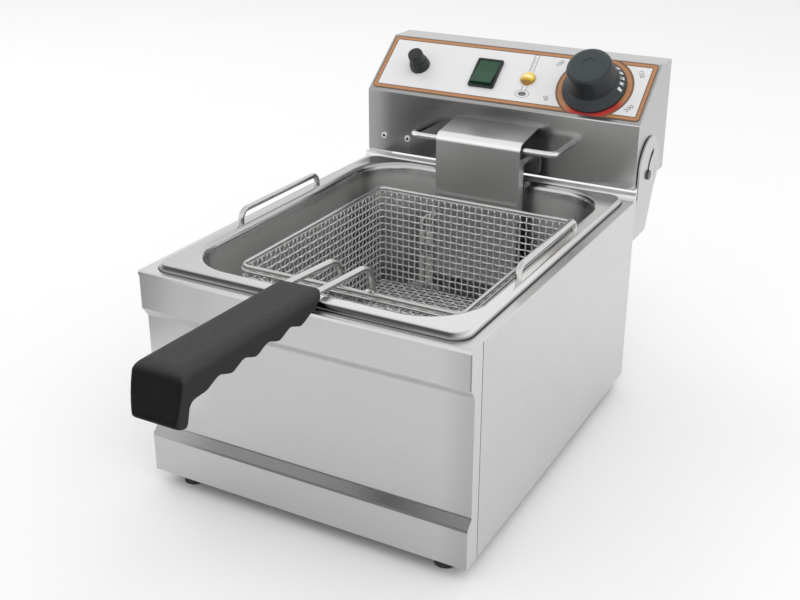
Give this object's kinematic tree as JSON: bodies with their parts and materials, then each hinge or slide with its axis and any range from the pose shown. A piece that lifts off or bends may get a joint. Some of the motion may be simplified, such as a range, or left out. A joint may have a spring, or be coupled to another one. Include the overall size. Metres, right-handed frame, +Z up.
{
  "type": "countertop electric fryer",
  "caption": "Countertop electric fryer in brushed steel: drawn tank with bail handles, control head that tilts back with the element, and a lift-out wire basket with a folding black handle",
  "frame": {"origin": "on the table, under the middle of the whole object's box, handle and cable gland included", "axes": "+X to the operator's right, +Y to the back, +Z up; the basket's handle points to -Y"},
  "size_m": [0.2836, 0.5952, 0.3141],
  "materials": {
    "brushed_steel": "brushed stainless sheet",
    "drawn_steel": "drawn stainless pan with a satin inside",
    "bright_wire": "bright polished wire",
    "basket_mesh": "woven steel wire",
    "fastener_steel": "plain steel fasteners",
    "element_tube": "sheathed heating tube",
    "bulb_copper": "plated sensor tubes",
    "fascia_print": "printed film, white with an orange border",
    "black_plastic": "near-black moulded plastic",
    "inner_plastic": "moulded insulating plastic",
    "button_red": "red button",
    "rocker_green": "dark green translucent rocker",
    "lamp_amber": "amber lens",
    "foot_rubber": "black rubber"
  },
  "bodies": {
    "cabinet": {"front_panel": "brushed_steel", "left_side_panel": "brushed_steel", "right_side_panel": "brushed_steel", "rear_panel": "brushed_steel", "deck": "brushed_steel", "base_plate": "brushed_steel", "rubber_feet": "foot_rubber", "foot_screws": "fastener_steel", "foot_nuts": "fastener_steel", "left_hinge_bracket": "brushed_steel", "right_hinge_bracket": "brushed_steel", "bracket_screws": "fastener_steel", "tank": "drawn_steel", "left_tank_handle": "bright_wire", "right_tank_handle": "bright_wire"},
    "head": {"head_shell": "brushed_steel", "head_floor": "brushed_steel", "head_back_cover": "brushed_steel", "cover_screws": "fastener_steel", "control_fascia": "fascia_print", "pivot_pins": "fastener_steel", "guide_pins": "fastener_steel", "hanger_bar": "bright_wire", "element_guard": "brushed_steel", "heating_element": "element_tube", "element_plate": "brushed_steel", "element_brace": "element_tube", "thermostat_bulb": "bulb_copper", "limiter_bulb": "bulb_copper", "bulb_clip": "brushed_steel", "capillary_tubes": "bulb_copper", "thermostat_body": "inner_plastic", "limiter_body": "inner_plastic", "switch_housing": "black_plastic", "lamp_body": "inner_plastic", "lamp_lens": "lamp_amber", "terminal_block": "inner_plastic", "terminal_bracket": "brushed_steel", "blind_rivets": "fastener_steel", "cable_gland": "black_plastic"},
    "knob": {"thermostat_knob": "black_plastic", "thermostat_shaft": "fastener_steel"},
    "rocker": {"rocker": "rocker_green"},
    "reset_cap": {"reset_cap": "black_plastic"},
    "reset_button": {"reset_button": "button_red"},
    "basket": {"basket_rim": "bright_wire", "basket_lower_wire": "bright_wire", "basket_front_mesh": "basket_mesh", "basket_rear_mesh": "basket_mesh", "basket_left_mesh": "basket_mesh", "basket_right_mesh": "basket_mesh", "basket_floor_mesh": "basket_mesh", "handle_hinge": "bright_wire"},
    "handle": {"handle_wire": "bright_wire", "handle_grip": "black_plastic"}
  },
  "joints": [
    {"name": "head_tilt", "type": "hinge", "parent": "cabinet", "child": "head", "pos_m": [0, 0.2469, 0.2028], "axis": [-1, 0, 0], "range_deg": [0, 60]},
    {"name": "basket_lift", "type": "slide", "parent": "head", "child": "basket", "axis": [0, 0, 1], "range_m": [0, 0.14]},
    {"name": "handle_fold", "type": "hinge", "parent": "basket", "child": "handle", "pos_m": [0, -0.0681, 0.16755], "axis": [-1, 0, 0], "range_deg": [0, 90]},
    {"name": "thermostat_turn", "type": "hinge", "parent": "head", "child": "knob", "pos_m": [0.0845, 0.22272, 0.2774], "axis": [0, 0.6306, -0.7761], "range_deg": [0, 270]},
    {"name": "switch_rock", "type": "hinge", "parent": "head", "child": "rocker", "pos_m": [-0.024, 0.22221, 0.27802], "axis": [1, 0, 0], "range_deg": [0, 14]},
    {"name": "reset_cap_off", "type": "slide", "parent": "head", "child": "reset_cap", "axis": [0, -0.6306, 0.7761], "range_m": [0, 0.03]},
    {"name": "reset_press", "type": "slide", "parent": "head", "child": "reset_button", "axis": [0, 0.6306, -0.7761], "range_m": [0, 0.0025], "stiffness_N_per_m": 200}
  ]
}
